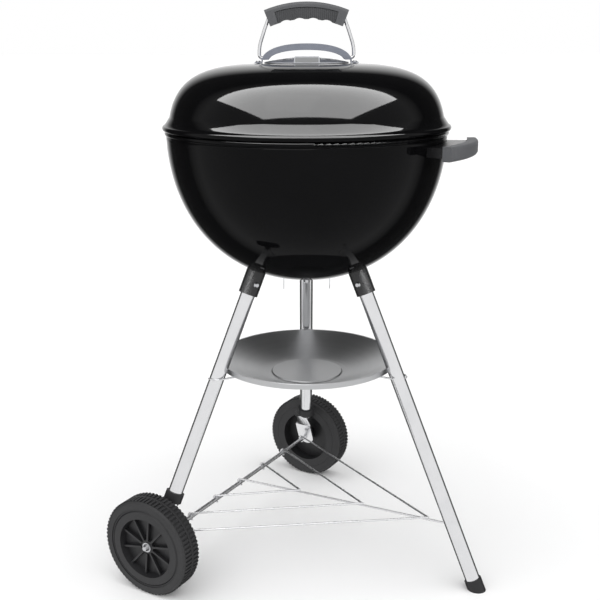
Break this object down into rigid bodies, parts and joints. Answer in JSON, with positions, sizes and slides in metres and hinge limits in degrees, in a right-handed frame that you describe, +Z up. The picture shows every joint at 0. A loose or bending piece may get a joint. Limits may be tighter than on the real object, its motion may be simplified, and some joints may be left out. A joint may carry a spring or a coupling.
{
  "type": "kettle charcoal grill",
  "caption": "Round lidded charcoal grill on splayed tube legs with wheels, a catch dish, a wire rack, vent dampers and lift-out grates.",
  "frame": {"origin": "centre of the whole object's box on the ground, under the wheels and the foot", "axes": "+Z up, -Y towards the front, where the lid damper's tab and the side handle's side are seen, +X to the right"},
  "size_m": [0.656, 0.6118, 0.9767],
  "materials": {
    "enamel": "deep gloss black vitreous enamel",
    "chrome_tube": "bright plated steel tube",
    "wire_steel": "plated steel wire",
    "grate_steel": "plated steel rod",
    "aluminium": "spun satin aluminium",
    "damper_aluminium": "pressed aluminium",
    "shield_steel": "bright strip steel, blue-grey reflections",
    "grip_skin": "grey glass-filled plastic, fine grain",
    "grip_insert": "darker ribbed plastic",
    "black_plastic": "black moulded plastic",
    "wheel_plastic": "black moulded plastic, fine grain",
    "tyre_plastic": "moulded black tread",
    "screw_steel": "zinc-plated steel",
    "bracket_black": "black coated steel",
    "badge_metal": "blank satin plate"
  },
  "bodies": {
    "stand": {"bowl_shell": "enamel", "leg_socket_front_left": "bracket_black", "leg_socket_front_right": "bracket_black", "leg_socket_rear": "bracket_black", "cooking_grate_brackets": "bracket_black", "charcoal_grate_brackets": "bracket_black", "bottom_damper_bolt": "screw_steel", "leg_screws": "screw_steel", "leg_front_right": "chrome_tube", "leg_front_left": "chrome_tube", "leg_rear": "chrome_tube", "foot_cap": "black_plastic", "leg_collars": "black_plastic", "axle": "wire_steel", "axle_push_nuts": "screw_steel", "rack_centre_wire": "wire_steel", "rack_wires_outer": "wire_steel", "rack_wires_middle": "wire_steel", "rack_wires_inner": "wire_steel", "ash_catcher": "aluminium", "catcher_clips": "wire_steel", "side_handle_bracket": "bracket_black", "side_handle_grip": "grip_skin", "side_handle_screws": "screw_steel"},
    "lid": {"lid_shell": "enamel", "lid_heat_shield": "shield_steel", "lid_shield_screws": "screw_steel", "lid_handle_wire": "wire_steel", "lid_grip_shell": "grip_skin", "lid_grip_insert": "grip_insert", "lid_damper_rivet": "screw_steel"},
    "lid_damper": {"lid_damper": "damper_aluminium", "lid_damper_badge": "badge_metal"},
    "cooking_grate": {"cooking_grate": "grate_steel"},
    "charcoal_grate": {"charcoal_grate": "grate_steel"},
    "bottom_damper": {"bottom_damper": "damper_aluminium"},
    "wheel_front": {"wheel_front_hub": "wheel_plastic", "wheel_front_tyre": "tyre_plastic"},
    "wheel_rear": {"wheel_rear_hub": "wheel_plastic", "wheel_rear_tyre": "tyre_plastic"}
  },
  "joints": [
    {"name": "lid_lift", "type": "slide", "parent": "stand", "child": "lid", "axis": [0, 0, 1], "range_m": [0, 0.3]},
    {"name": "lid_damper_turn", "type": "hinge", "parent": "lid", "child": "lid_damper", "pos_m": [0.02118, -0.06438, 0.87972], "axis": [0, 0, 1], "range_deg": [0, 45]},
    {"name": "cooking_grate_lift", "type": "slide", "parent": "stand", "child": "cooking_grate", "axis": [0, 0, 1], "range_m": [0, 0.15]},
    {"name": "charcoal_grate_lift", "type": "slide", "parent": "stand", "child": "charcoal_grate", "axis": [0, 0, 1], "range_m": [0, 0.06]},
    {"name": "bottom_damper_turn", "type": "hinge", "parent": "stand", "child": "bottom_damper", "pos_m": [0.02118, -0.06438, 0.517], "axis": [0, 0, 1], "range_deg": [0, 45]},
    {"name": "wheel_front_spin", "type": "hinge", "parent": "stand", "child": "wheel_front", "pos_m": [-0.24503, -0.22732, 0.086], "axis": [0.5, 0.866, 0], "continuous": true},
    {"name": "wheel_rear_spin", "type": "hinge", "parent": "stand", "child": "wheel_rear", "pos_m": [0.02918, 0.24763, 0.086], "axis": [0.5, 0.866, 0], "continuous": true}
  ],
  "couplings": [
    {"joint": "cooking_grate_lift", "follows": "lid_lift", "ratio": 0.5},
    {"joint": "charcoal_grate_lift", "follows": "lid_lift", "ratio": 0.2}
  ]
}
